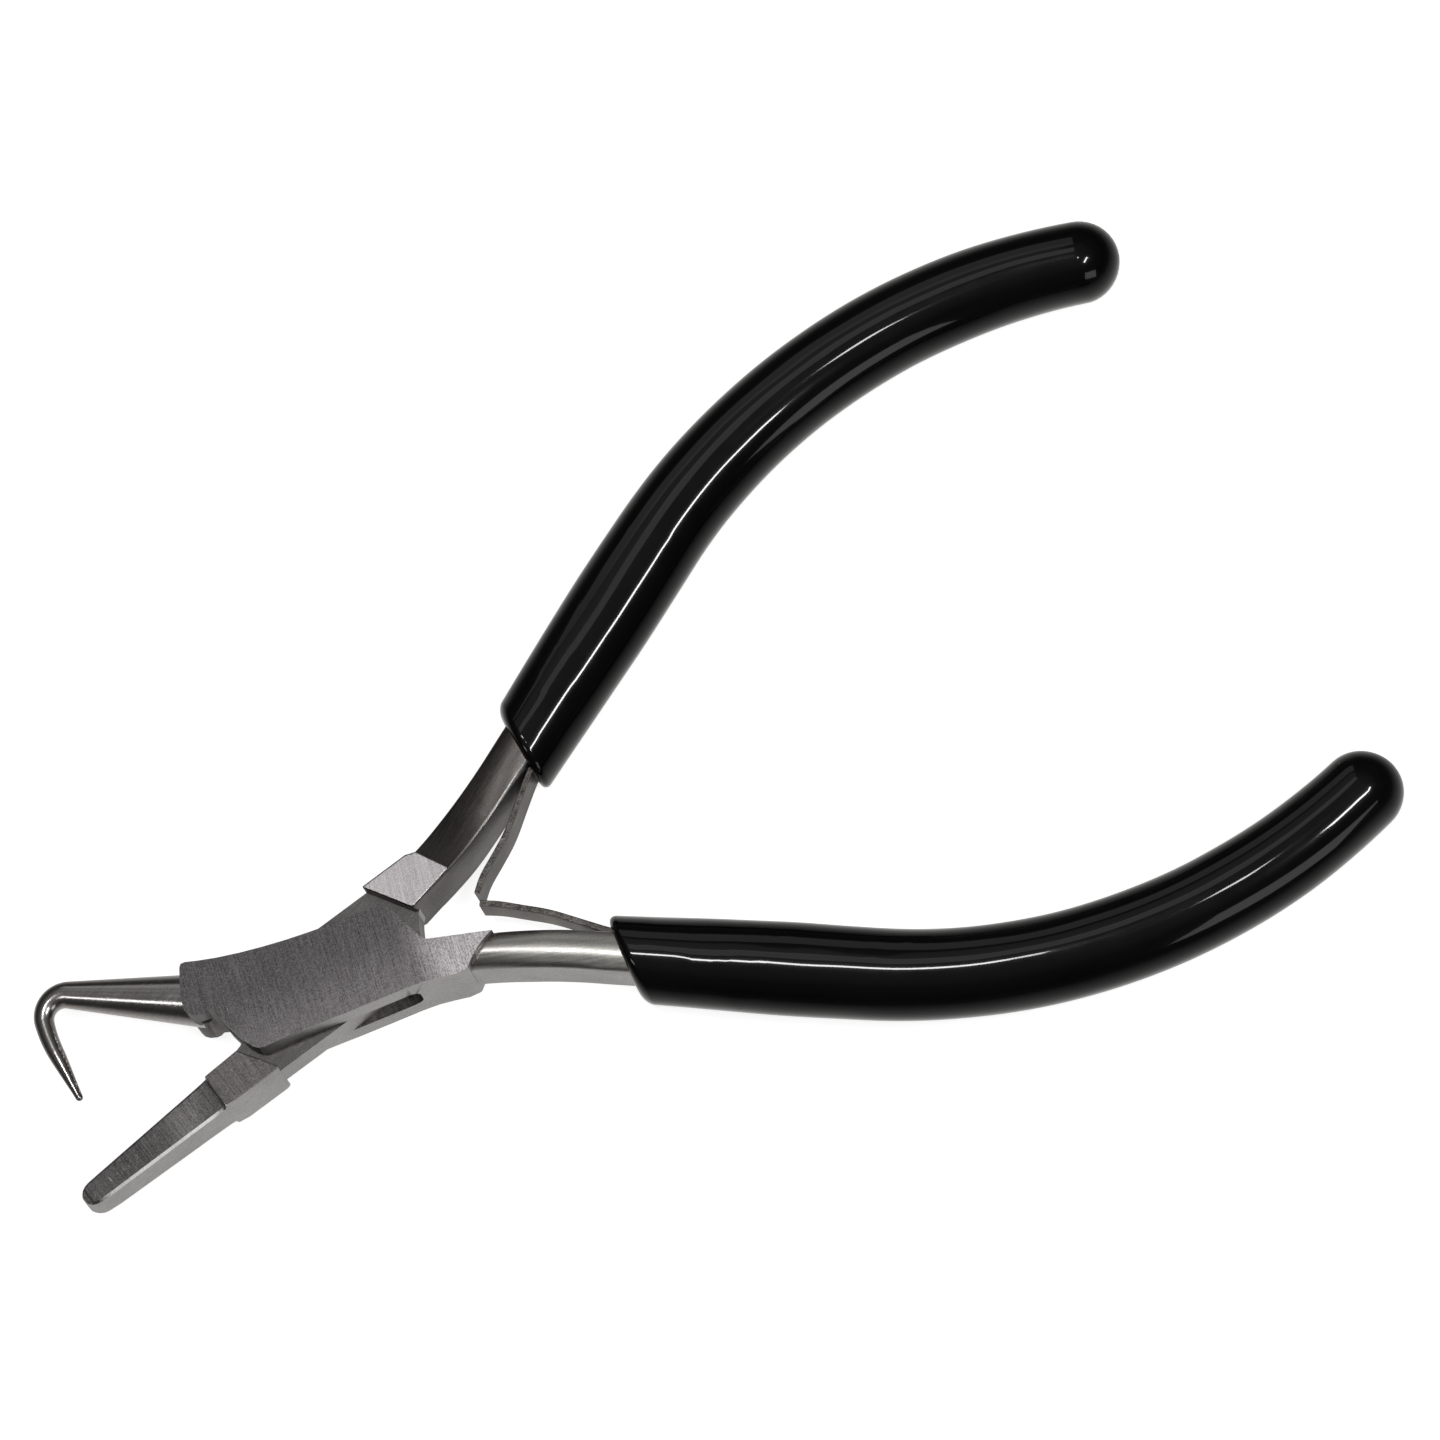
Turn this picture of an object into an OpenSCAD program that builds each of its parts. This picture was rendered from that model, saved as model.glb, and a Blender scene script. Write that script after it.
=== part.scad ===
// Spring-opened box-joint pliers with one bent, pointed round jaw and one flat jaw.
// Origin: on the pivot axis, in the plane the pliers lie on. +X runs between the
// handles, -X towards the jaws, +Z up. Each half is drawn in its own closed
// position and then turned by half the opening angle.

/* [Joint] */
// Angle that the springs hold the two halves apart
open_angle = 20; // [18:0.5:22]
// Thickness of the box joint, and of the grips that lie on the same surface
joint_t = 8.8; // [8.6:0.1:9.2]
// Thickness of the tongue that passes through the box
tongue_t = 3.4; // [3:0.1:3.8]
// Clearance on each side of the tongue
tongue_gap = 0.06; // [0.04:0.01:0.1]
// Radius of the round slot milled through the box
slot_r = 10.4; // [10.3:0.1:10.5]
// Radius of the pivot rivet
rivet_r = 2.2; // [1.8:0.1:2.6]
// Running clearance of the tongue on the rivet
rivet_gap = 0.03; // [0.02:0.01:0.06]

/* [Flat jaw] */
// Distance from the pivot to the tip of the flat jaw
flat_reach = 31.8; // [30:0.1:33]
// Thickness of the block at the root of the flat jaw
block_t = 7.2; // [7.2:0.1:7.6]
// Width of the gripping face at its root
flat_root_w = 5.2; // [4.8:0.1:5.6]
// Width of the gripping face at its tip
flat_tip_w = 4.2; // [3.8:0.1:4.6]

/* [Hook jaw] */
// Radius of the round jaw where it leaves the box
hook_root_r = 2.6; // [2.4:0.05:2.7]
// Radius of the round jaw where the bend begins
hook_bend_r = 1.36; // [1.2:0.02:1.5]
// Radius of the round jaw after the bend
hook_leg_r = 1.02; // [0.9:0.02:1.1]
// Radius of the jaw's rounded point
hook_tip_r = 0.36; // [0.3:0.02:0.45]

/* [Handles] */
// Radius of the crowned front and back of the handle bars
bar_crown_r = 3.5; // [3.3:0.05:3.55]
// Width of the handle bars across their flat sides
bar_w = 4; // [3.8:0.1:4.4]
// Width of the grips
grip_w = 8.9; // [8.7:0.1:9.2]
// Extra width of the grips where they swell towards the front
grip_swell = 0.6; // [0:0.05:0.8]
// Slant of the grips' mouths
mouth_slant = 28; // [22:1:32]

/* [Springs] */
// Width of the leaf springs
leaf_w = 3.6; // [3.2:0.1:4]
// Thickness of the leaf springs
leaf_t = 0.6; // [0.5:0.05:0.7]
// Gap between the two leaves' tips at rest
tip_gap = 0.2; // [0.15:0.05:0.3]

/* [Hidden] */
$fn = 64;
big = 60;
mid_z = joint_t / 2;
half_turn = open_angle / 2;

// A route is a start [x, y, heading] and a list of stretches [length, turn].
// Middle of a handle: a short bend, a straight stretch and a long bow
handle_start = [14.8, 2.6, 9.7];
handle_route = [[13.2, 12], [27.4, 0], [53.3, -49.2]];
straight_tilt = handle_start[2] + handle_route[0][1];
bow_s = handle_route[0][0] + handle_route[1][0];
handle_l = bow_s + handle_route[2][0];
// Middle of the hook jaw: a leg, a tight bend, a slight bend and a straight point
hook_start = [-11.4, 1.86, 159.4];
hook_route = [[14.3, 0], [4.4, 109.6], [3.2, 13], [5.8, 0]];
hook_l = 27.7;

// Places along the handle, measured from its start
mouth_s = 15.8;
swell_s = 32;
grip_slim = 0.3;
tang_l = 84;
grip_lead = 4;
grip_clear = 0.05;

// Leaf spring: the foot lies on the bar's inner side, the blade stands off it
leaf_off = (bar_w + leaf_t) / 2;
blade_s = mouth_s - 1.6;
foot_l = 8;
foot_gap = 0.12;
blade_kick = 17;
blade_root_l = 6.4;
blade_tip_kick = 14.4;
blade_root = rest_point(handle_place(blade_s, -leaf_off));
blade_slope = straight_tilt + half_turn + blade_kick;
blade_knee_y = blade_root[1] - blade_root_l * sin(blade_slope);
blade_tip_l = (blade_knee_y - (tip_gap + leaf_t) / 2) / sin(blade_slope - blade_tip_kick);

// Rivet that holds a spring's foot
spring_rivet_s = blade_s + 5;
spring_rivet_r = 1.1;
spring_head_r = 1.7;
spring_head_t = 0.5;
spring_rivet_depth = 1.8;

// ---- routes and sweeps ----

// Where a stretch of this length and turn ends
function stretch(p, l, turn) =
    turn == 0 ? [p[0] + l * cos(p[2]), p[1] + l * sin(p[2]), p[2]]
    : let (r = l / turn * 180 / PI, h = p[2] + turn)
      [p[0] + r * (sin(h) - sin(p[2])), p[1] - r * (cos(h) - cos(p[2])), h];

// The place and heading at distance s along a route
function along(p, route, s, i = 0) =
    i == len(route) - 1 || s <= route[i][0] ? stretch(p, s, route[i][1] * s / route[i][0])
    : along(stretch(p, route[i][0], route[i][1]), route, s - route[i][0], i + 1);

// A point at distance v to the left of a place
function beside(p, v) = [p[0] - v * sin(p[2]), p[1] + v * cos(p[2])];

function handle_place(s, v) = beside(along(handle_start, handle_route, s), v);

// From the upper handle's closed position to its place at rest
function rest_point(p) =
    [p[0] * cos(half_turn) - p[1] * sin(half_turn), p[0] * sin(half_turn) + p[1] * cos(half_turn)];

// Stands an outline of [across, up] points upright at a place
function upright(p, outline) = [for (q = outline) let (b = beside(p, q[0])) [b[0], b[1], q[1]]];

function circle_points(rx, rz, n) = [for (i = [0 : n - 1]) [rx * cos(360 * i / n), rz * sin(360 * i / n)]];

// A round bar with two flat sides: a crown above and a crown below
function bar_points(extra) =
    let (n = 8, r = bar_crown_r + extra, edge = acos((bar_w / 2 + extra) / r))
    [for (side = [0, 180], i = [0 : n])
        let (a = side + edge + (180 - 2 * edge) * i / n)
        [r * cos(a), r * sin(a)]];

// A closed solid through a list of rings
module sweep(rings) {
    n = len(rings[0]);
    m = len(rings);
    sides = [for (j = [0 : m - 2], i = [0 : n - 1])
                let (k = (i + 1) % n)
                [j * n + i, (j + 1) * n + i, (j + 1) * n + k, j * n + k]];
    ends = [[for (i = [0 : n - 1]) i], [for (i = [n - 1 : -1 : 0]) (m - 1) * n + i]];
    polyhedron(points = [for (r = rings) each r], faces = concat(sides, ends), convexity = 6);
}

// Distances from a to b: close together on the bends and bow
function handle_steps(a, b) =
    concat([a], [for (s = [3 : 2.6 : handle_route[0][0]]) if (s > a + 1) s],
           [for (s = [16 : 6 : bow_s - 1]) if (s > a + 1) s],
           [for (s = [bow_s : 3.1 : b - 1]) s], [b]);

module bar(extra = 0, from = 0) {
    sweep([for (s = handle_steps(from, tang_l + extra))
        upright(along(handle_start, handle_route, s), bar_points(extra))]);
}

module at_handle(s) {
    p = along(handle_start, handle_route, s);
    translate([p[0], p[1], 0])
        rotate([0, 0, p[2]])
            children();
}

// ---- hook half ----

// The box's outline, hollowed along its upper side
module box_outline() {
    side_r = 67;
    difference() {
        polygon([[-12.7, 5.1], [-13.4, 1.5], [-12.9, -0.2], [-11.1, -0.2], [-10.4, -1],
                 [-8.2, -5.2], [-6.9, -5.7], [10.4, -4.35], [15, -4.5], [16, -3.3],
                 [18.2, -1.4], [14.6, -0.75], [11.6, -0.3], [8.6, 4.7]]);
        translate([-1.8, 4.2 + side_r])
            circle(side_r, $fn = 128);
    }
}

// The slot is round inside and open where the tongue leaves towards its handle
module slot() {
    slot_t = tongue_t + 2 * tongue_gap;
    cylinder(h = slot_t, r = slot_r, center = true);
    translate([0, 0, -slot_t / 2])
        cube([slot_r + 2, 6, slot_t]);
}

function hook_radius(s) =
    lookup(s, [[0, hook_root_r + 0.2], [14.3, hook_bend_r], [17.8, hook_leg_r],
               [22.4, 0.85 * hook_leg_r], [hook_l - hook_tip_r, hook_tip_r]]);

module hook() {
    n = 20;
    bend = hook_route[0][0];
    tip = hook_l - hook_tip_r;
    steps = concat([0, 5, 10], [for (i = [0 : 8]) bend + i * hook_route[1][0] / 8],
                   [20.4, 22, 25, tip]);
    sweep(concat(
        [for (s = steps)
            upright(along(hook_start, hook_route, s), circle_points(hook_radius(s), hook_radius(s), n))],
        [for (a = [30, 60, 80])
            upright(along(hook_start, hook_route, tip + hook_tip_r * sin(a)),
                    circle_points(hook_tip_r * cos(a), hook_tip_r * cos(a), n))]));
}

module hook_jaw_half() {
    color("lightslategray")
        translate([0, 0, mid_z])
            rotate([0, 0, -half_turn])
                difference() {
                    union() {
                        translate([0, 0, -mid_z])
                            linear_extrude(joint_t)
                                box_outline();
                        hook();
                        mirror([0, 1, 0])
                            bar();
                    }
                    slot();
                    cylinder(h = 2 * joint_t, r = rivet_r, center = true);
                    mirror([0, 1, 0])
                        spring_rivet_hole();
                }
}

// ---- flat half ----

module tongue() {
    tongue_r = slot_r - 0.3;
    translate([0, 0, -tongue_t / 2])
        linear_extrude(tongue_t)
            intersection() {
                union() {
                    circle(tongue_r);
                    polygon([[-12, -5.4], [-7, -5.4], [-7, 0], [-10, -0.6], [-12, -1.2]]);
                    polygon([[7, 4.4], [12, 4.4], [12, 0.1], [10, 0], [7, 0]]);
                }
                translate([-14, -5.35])
                    square([28, 9.65]);
            }
}

module flat_block() {
    translate([0, 0, -block_t / 2])
        linear_extrude(block_t)
            polygon([[-10.7, -1.5], [-14.8, -1.75], [-14.8, -5.4], [-13.6, -5.6],
                     [-8.2, -5.6], [-8.65, -5]]);
}

module flat_blade() {
    root_x = -14.3;
    intersection() {
        translate([0, 0, -mid_z])
            linear_extrude(joint_t)
                polygon([[root_x, -1.65], [root_x, -5.5], [1.6 - flat_reach, -5.35],
                         [0.6 - flat_reach, -5.1], [-flat_reach, -4.3], [0.4 - flat_reach, -3.2],
                         [1.1 - flat_reach, -2.85]]);
        rotate([90, 0, 0])
            translate([0, 0, -10])
                linear_extrude(20)
                    polygon([[root_x, flat_root_w / 2], [root_x, -flat_root_w / 2],
                             [0.5 - flat_reach, -flat_tip_w / 2], [-flat_reach, 0.6 - flat_tip_w / 2],
                             [-flat_reach, flat_tip_w / 2 - 0.6], [0.5 - flat_reach, flat_tip_w / 2]]);
    }
}

module handle_plate() {
    translate([0, 0, -block_t / 2])
        linear_extrude(block_t)
            polygon([[8.9, 4.5], [9, 4.2], [11.7, -0.35], [16.9, 0.8], [17.1, 1.4],
                     [15.5, 4.3], [14.2, 4.6]]);
}

module flat_jaw_half() {
    color("silver")
        translate([0, 0, mid_z])
            rotate([0, 0, half_turn])
                difference() {
                    union() {
                        tongue();
                        flat_block();
                        flat_blade();
                        handle_plate();
                        bar();
                    }
                    cylinder(h = 2 * joint_t, r = rivet_r + rivet_gap, center = true);
                    spring_rivet_hole();
                }
}

module pivot_rivet() {
    color("gainsboro")
        cylinder(h = joint_t, r = rivet_r);
}

// ---- springs ----

// The foot lies flat against the bar; extra grows it for the grip's pocket
module spring_foot(extra = 0) {
    at_handle(blade_s)
        translate([foot_gap - extra, -leaf_off - leaf_t / 2 - extra, -leaf_w / 2 - extra])
            cube([foot_l + 2 * extra, leaf_t + 2 * extra, leaf_w + 2 * extra]);
}

module drilled_foot() {
    difference() {
        spring_foot();
        spring_rivet_hole();
    }
}

// One straight run of the leaf, with a round end
module leaf_run(l) {
    translate([0, -leaf_t / 2, 0])
        cube([l, leaf_t, leaf_w]);
    translate([l, 0, 0])
        cylinder(h = leaf_w, d = leaf_t);
}

// The blade leaves the foot, stands off the bar and bends back a little
module spring_blade() {
    at_handle(blade_s)
        translate([0, -leaf_off, -leaf_w / 2])
            rotate([0, 0, 180 + blade_kick]) {
                leaf_run(blade_root_l);
                translate([blade_root_l, 0, 0])
                    rotate([0, 0, -blade_tip_kick])
                        leaf_run(blade_tip_l);
            }
}

module spring_rivet_axis() {
    at_handle(spring_rivet_s)
        rotate([90, 0, 0])
            children();
}

module spring_rivet_hole() {
    spring_rivet_axis()
        translate([0, 0, bar_w / 2 - spring_rivet_depth])
            cylinder(h = 3 * spring_rivet_depth, r = spring_rivet_r);
}

module spring_rivet(extra = 0) {
    spring_rivet_axis() {
        translate([0, 0, bar_w / 2 - spring_rivet_depth])
            cylinder(h = spring_rivet_depth + leaf_t, r = spring_rivet_r);
        translate([0, 0, bar_w / 2 + leaf_t])
            cylinder(h = spring_head_t + extra, r = spring_head_r + extra);
    }
}

// ---- grips ----

// Half width of a grip: it swells behind its mouth and slims down towards its end
function grip_half(s) =
    let (r = grip_w / 2)
    lookup(s, [[mouth_s - grip_lead, r - 0.3], [mouth_s + 6, r], [swell_s, r + grip_swell / 2],
               [bow_s + 10, r + 0.05], [handle_l - 12, r - 0.05], [handle_l, r - grip_slim]]);

module grip() {
    n = 28;
    end_r = grip_half(handle_l);
    steps = handle_steps(mouth_s - grip_lead, handle_l);
    difference() {
        sweep(concat(
            [for (s = steps)
                upright(along(handle_start, handle_route, s), circle_points(grip_half(s), mid_z, n))],
            [for (a = [15 : 15 : 75])
                upright(along(handle_start, handle_route, handle_l + end_r * sin(a)),
                        circle_points(end_r * cos(a), mid_z * cos(a), n))]));
        at_handle(mouth_s)
            rotate([0, 0, -mouth_slant])
                translate([-big, -big / 2, -big / 2])
                    cube(big);
        bar(grip_clear, mouth_s - 2 * grip_lead);
        spring_foot(grip_clear);
        spring_rivet(grip_clear);
    }
}

// ---- both sides ----

module on_upper() {
    translate([0, 0, mid_z])
        rotate([0, 0, half_turn])
            children();
}

module on_lower() {
    mirror([0, 1, 0])
        on_upper()
            children();
}

module lower_grip() {
    color("black") on_lower() grip();
}

module upper_grip() {
    color("black") on_upper() grip();
}

module lower_spring_foot() {
    color("tan") on_lower() drilled_foot();
}

module upper_spring_foot() {
    color("tan") on_upper() drilled_foot();
}

module lower_spring_blade() {
    color("rosybrown") on_lower() spring_blade();
}

module upper_spring_blade() {
    color("rosybrown") on_upper() spring_blade();
}

module lower_spring_rivet() {
    color("gray") on_lower() spring_rivet();
}

module upper_spring_rivet() {
    color("gray") on_upper() spring_rivet();
}

hook_jaw_half();
flat_jaw_half();
pivot_rivet();
lower_grip();
upper_grip();
lower_spring_foot();
upper_spring_foot();
lower_spring_blade();
upper_spring_blade();
lower_spring_rivet();
upper_spring_rivet();
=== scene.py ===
"""Looks for the spring-opened box-joint pliers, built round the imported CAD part.

Every shape is drawn in millimetres about the middle plane of the pliers, each half in
its own closed place, as in part.scad. add_piece turns it to its place at rest.
"""

import math

import bmesh
import bpy
import numpy as np
from mathutils import Matrix, Vector, noise


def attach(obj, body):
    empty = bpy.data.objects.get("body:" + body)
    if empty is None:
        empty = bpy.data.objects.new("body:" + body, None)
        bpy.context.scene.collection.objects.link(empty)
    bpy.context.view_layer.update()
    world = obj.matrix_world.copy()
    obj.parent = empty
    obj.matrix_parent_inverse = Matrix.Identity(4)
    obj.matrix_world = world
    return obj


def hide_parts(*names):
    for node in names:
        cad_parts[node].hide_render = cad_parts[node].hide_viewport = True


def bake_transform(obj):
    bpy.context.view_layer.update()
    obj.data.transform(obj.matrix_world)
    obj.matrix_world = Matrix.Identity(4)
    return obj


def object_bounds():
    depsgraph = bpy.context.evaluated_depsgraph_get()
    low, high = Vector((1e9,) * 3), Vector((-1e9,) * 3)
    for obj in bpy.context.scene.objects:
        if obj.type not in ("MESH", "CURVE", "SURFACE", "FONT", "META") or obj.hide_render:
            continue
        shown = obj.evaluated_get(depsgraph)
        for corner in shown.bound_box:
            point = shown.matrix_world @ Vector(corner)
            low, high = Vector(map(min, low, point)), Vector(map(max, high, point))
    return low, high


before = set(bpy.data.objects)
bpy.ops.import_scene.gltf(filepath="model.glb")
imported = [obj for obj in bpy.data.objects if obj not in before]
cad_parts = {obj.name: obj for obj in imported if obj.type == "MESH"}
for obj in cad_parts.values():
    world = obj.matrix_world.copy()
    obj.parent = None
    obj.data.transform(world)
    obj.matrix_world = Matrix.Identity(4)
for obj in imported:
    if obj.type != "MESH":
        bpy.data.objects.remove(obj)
cad_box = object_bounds()

MM = 0.001
MID = round(cad_box[1][2] / MM / 2, 3)  # half of the part's height
TURN = {"hook": -10.0, "flat": 10.0, "rest": 0.0}  # from closed to rest, in degrees

# Middle lines: start (x, y, heading), then stretches of (length, turn)
HANDLE_START = (14.8, 2.6, 9.7)
HANDLE = [(13.2, 12.0), (27.4, 0.0), (53.3, -49.2)]
HANDLE_L = sum(length for length, turn in HANDLE)
HOOK_START = (-11.4, 1.86, 159.4)
HOOK = [(14.3, 0.0), (4.4, 109.6), (3.2, 13.0), (5.8, 0.0)]

# Half heights and radii that the pieces of the joint share
SLOT_HALF, SLOT_R, SLOT_RIM = 1.76, 10.4, 1.0
TONGUE_HALF, TONGUE_R = 1.7, 9.5
RIVET_R, RIVET_GAP = 2.2, 0.03
THROUGH = 6.0  # half height of a cutter that goes right through

# What add_piece is told about the steel pieces of each half
HOOK_HALF = {"half": "hook", "body": "hook_half", "slot": "jaw_steel", "nodes": ["hook_jaw_half"]}
FLAT_HALF = {"half": "flat", "body": "flat_half", "slot": "jaw_steel", "nodes": ["flat_jaw_half"]}


# ---- routes and numbers ----


def stretch(p, length, turn):
    """The place (x, y, heading) at the end of a straight or evenly curved stretch."""
    x, y, h = p
    a = math.radians(h)
    if turn == 0:
        return (x + length * math.cos(a), y + length * math.sin(a), h)
    r, b = length / math.radians(turn), math.radians(h + turn)
    return (x + r * (math.sin(b) - math.sin(a)), y - r * (math.cos(b) - math.cos(a)), h + turn)


def along(start, route, s):
    """The place at a distance along a route."""
    p = start
    for i, (length, turn) in enumerate(route):
        if i == len(route) - 1 or s <= length:
            return stretch(p, s, turn * s / length)
        p = stretch(p, length, turn)
        s -= length


def beside(p, v):
    """The point at a distance to the left of a place."""
    a = math.radians(p[2])
    return (p[0] - v * math.sin(a), p[1] + v * math.cos(a))


def upright(p, outline):
    """An outline of (across, up) points, stood upright at a place."""
    return [(*beside(p, v), z) for v, z in outline]


def spread(a, b, step):
    """Evenly spread values from a to b, about a step apart."""
    return list(np.linspace(a, b, max(2, int(round((b - a) / step)) + 1)))


def degrees(first, last, step):
    """Angles in radians, given in whole degrees with both ends included."""
    return [math.radians(a) for a in range(first, last + 1, step)]


def turns(n):
    """Angles in radians, spread evenly round a full turn."""
    return [2 * math.pi * i / n for i in range(n)]


def arc(r, first, last, step):
    """Points about the pivot, from one angle to another in degrees."""
    return [(r * math.cos(a), r * math.sin(a)) for a in degrees(first, last, step)]


def soft_table(knots, sigma):
    """A table of values by distance, with its corners smoothed away."""
    step, reach = 0.25, 60
    x, y = np.array(knots, float).T
    grid = np.arange(x[0] - 4 * sigma, x[-1] + 4 * sigma, step)
    k = np.exp(-0.5 * (np.arange(-reach, reach + 1) * step / sigma) ** 2)
    padded = np.pad(np.interp(grid, x, y), reach, mode="edge")
    smooth = np.convolve(padded, k / k.sum(), mode="valid")
    return lambda s: float(np.interp(s, grid, smooth))


def smoothstep(t):
    t = min(1.0, max(0.0, t))
    return t * t * (3 - 2 * t)


# ---- meshes ----


def mesh(name, verts, faces):
    me = bpy.data.meshes.new(name)
    me.from_pydata([tuple(map(float, v)) for v in verts], [], faces)
    bm = bmesh.new()
    bm.from_mesh(me)
    bmesh.ops.remove_doubles(bm, verts=bm.verts, dist=1e-5)
    bmesh.ops.recalc_face_normals(bm, faces=bm.faces)
    bm.to_mesh(me)
    bm.free()
    return me


def loft(name, rings):
    """A closed mesh through rings of equal length, with each end closed by a fan."""
    n, m = len(rings[0]), len(rings)
    verts = [p for r in rings for p in r]
    faces = [
        (j * n + i, j * n + (i + 1) % n, (j + 1) * n + (i + 1) % n, (j + 1) * n + i)
        for j in range(m - 1)
        for i in range(n)
    ]
    for base, ring in ((0, rings[0]), ((m - 1) * n, rings[-1])):
        c = len(verts)
        verts.append(tuple(np.mean(np.array(ring, float), 0)))
        faces += [(c, base + i, base + (i + 1) % n) for i in range(n)]
    return mesh(name, verts, faces)


def prism(name, outline, low, high):
    n = len(outline)
    verts = [(x, y, low) for x, y in outline] + [(x, y, high) for x, y in outline]
    faces = [tuple(range(n)), tuple(range(n, 2 * n))]
    faces += [(i, (i + 1) % n, n + (i + 1) % n, n + i) for i in range(n)]
    return mesh(name, verts, faces)


def disc_rings(profile, n=96):
    """Flat rings about the pivot through (radius, height) points."""
    return [[(r * math.cos(a), r * math.sin(a), z) for a in turns(n)] for r, z in profile]


def mirrored(rings):
    return [[(x, -y, z) for x, y, z in r] for r in rings]


def worked(me, *steps):
    """The mesh after some modifiers; each step adds one and may return a helper object."""
    ob = bpy.data.objects.new("work", me)
    bpy.context.scene.collection.objects.link(ob)
    helpers = [h for h in [step(ob) for step in steps] if h]
    bpy.context.view_layer.update()
    graph = bpy.context.evaluated_depsgraph_get()
    out = bpy.data.meshes.new_from_object(ob.evaluated_get(graph), depsgraph=graph)
    for o in [ob, *helpers]:
        bpy.data.objects.remove(o)
    return out


def minus(cutter):
    def step(ob):
        helper = bpy.data.objects.new("cutter", cutter)
        bpy.context.scene.collection.objects.link(helper)
        helper.hide_render = True
        m = ob.modifiers.new("cut", "BOOLEAN")
        m.operation, m.solver, m.object = "DIFFERENCE", "EXACT", helper
        return helper

    return step


def bore(r):
    return minus(loft("bore", disc_rings([(r, -THROUGH), (r, THROUGH)])))


def bevel(width, segments=3, angle=28):
    def step(ob):
        m = ob.modifiers.new("bevel", "BEVEL")
        m.width, m.segments, m.limit_method = width, segments, "ANGLE"
        m.angle_limit = math.radians(angle)
        m.miter_outer = "MITER_ARC"

    return step


def even_normals(ob):
    m = ob.modifiers.new("normals", "WEIGHTED_NORMAL")
    m.keep_sharp, m.weight = True, 70


def add_piece(name, me, mats, half, body, slot, nodes, sharp=38, pick=None):
    """Puts a finished mesh in its place at rest, in metres, on its body if it has one.

    pick gives the number of each face's material; sharp is the angle that stays an edge.
    """
    if pick:
        for p in me.polygons:
            p.material_index = pick(p)
    me.polygons.foreach_set("use_smooth", [True] * len(me.polygons))
    me.set_sharp_from_angle(angle=math.radians(sharp))
    for m in mats:
        me.materials.append(m)
    me = worked(me, even_normals)
    turn = Matrix.Rotation(math.radians(TURN[half]), 4, "Z")
    me.transform(Matrix.Scale(MM, 4) @ Matrix.Translation((0, 0, MID)) @ turn)
    me.name = name
    ob = bpy.data.objects.new(name, me)
    bpy.context.scene.collection.objects.link(ob)
    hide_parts(*nodes)
    if body:
        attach(ob, body)
    return ob


# ---- materials ----


class Nodes:
    """A short way to write node materials."""

    def __init__(self, name):
        self.mat = bpy.data.materials.new(name)
        self.mat.use_nodes = True
        self.tree = self.mat.node_tree
        self.shader = self.tree.nodes["Principled BSDF"]
        self.coords = self.tree.nodes.new("ShaderNodeTexCoord").outputs["Object"]

    def link(self, out, socket):
        self.tree.links.new(out, socket)

    def mapped(self, turn=0.0, scale=(1, 1, 1)):
        """Object coordinates turned by an angle about Z, then scaled."""
        turned = self.tree.nodes.new("ShaderNodeMapping")
        turned.inputs["Rotation"].default_value = (0, 0, math.radians(-turn))
        self.link(self.coords, turned.inputs["Vector"])
        scaled = self.tree.nodes.new("ShaderNodeMapping")
        scaled.inputs["Scale"].default_value = scale
        self.link(turned.outputs[0], scaled.inputs["Vector"])
        return scaled.outputs[0]

    def axis(self, letter):
        split = self.tree.nodes.new("ShaderNodeSeparateXYZ")
        self.link(self.coords, split.inputs[0])
        return split.outputs[letter]

    def noise(self, vector, scale=1.0, detail=3.0, rough=0.5):
        n = self.tree.nodes.new("ShaderNodeTexNoise")
        n.inputs["Scale"].default_value = scale
        n.inputs["Detail"].default_value = detail
        n.inputs["Roughness"].default_value = rough
        self.link(vector, n.inputs["Vector"])
        return n.outputs[0]

    def ramp(self, value, low, high, to_low=0.0, to_high=1.0):
        """A soft step: to_low where the value is low, to_high where it is high."""
        m = self.tree.nodes.new("ShaderNodeMapRange")
        m.interpolation_type = "SMOOTHSTEP"
        limits = {"From Min": low, "From Max": high, "To Min": to_low, "To Max": to_high}
        for key, v in limits.items():
            m.inputs[key].default_value = v
        self.link(value, m.inputs["Value"])
        return m.outputs[0]

    def math(self, kind, a, b):
        m = self.tree.nodes.new("ShaderNodeMath")
        m.operation = kind
        for socket, v in zip(m.inputs, (a, b)):
            if isinstance(v, (int, float)):
                socket.default_value = v
            else:
                self.link(v, socket)
        return m.outputs[0]

    def blend(self, *parts):
        """The sum of values, each times its share."""
        total = 0.0
        for value, share in parts:
            total = self.math("ADD", total, self.math("MULTIPLY", value, share))
        return total

    def mix(self, factor, a, b):
        m = self.tree.nodes.new("ShaderNodeMix")
        m.data_type = "RGBA"
        for socket, v in ((m.inputs[0], factor), (m.inputs[6], a), (m.inputs[7], b)):
            if isinstance(v, tuple):
                socket.default_value = (*v, 1)
            else:
                self.link(v, socket)
        return m.outputs[2]

    def scaled(self, colour, factor):
        m = self.tree.nodes.new("ShaderNodeVectorMath")
        m.operation = "SCALE"
        self.link(colour, m.inputs[0])
        self.link(factor, m.inputs["Scale"])
        return m.outputs[0]

    def bump(self, height, strength, distance, normal=None):
        b = self.tree.nodes.new("ShaderNodeBump")
        b.inputs["Strength"].default_value = strength
        b.inputs["Distance"].default_value = distance
        self.link(height, b.inputs["Height"])
        if normal:
            self.link(normal, b.inputs["Normal"])
        return b.outputs[0]

    def set(self, **values):
        """Sets the shader's inputs, with _ for a space, and returns the material."""
        for key, v in values.items():
            socket = self.shader.inputs[key.replace("_", " ")]
            if isinstance(v, tuple):
                socket.default_value = (*v, 1)
            elif isinstance(v, (int, float)):
                socket.default_value = v
            else:
                self.link(v, socket)
        return self.mat


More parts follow.
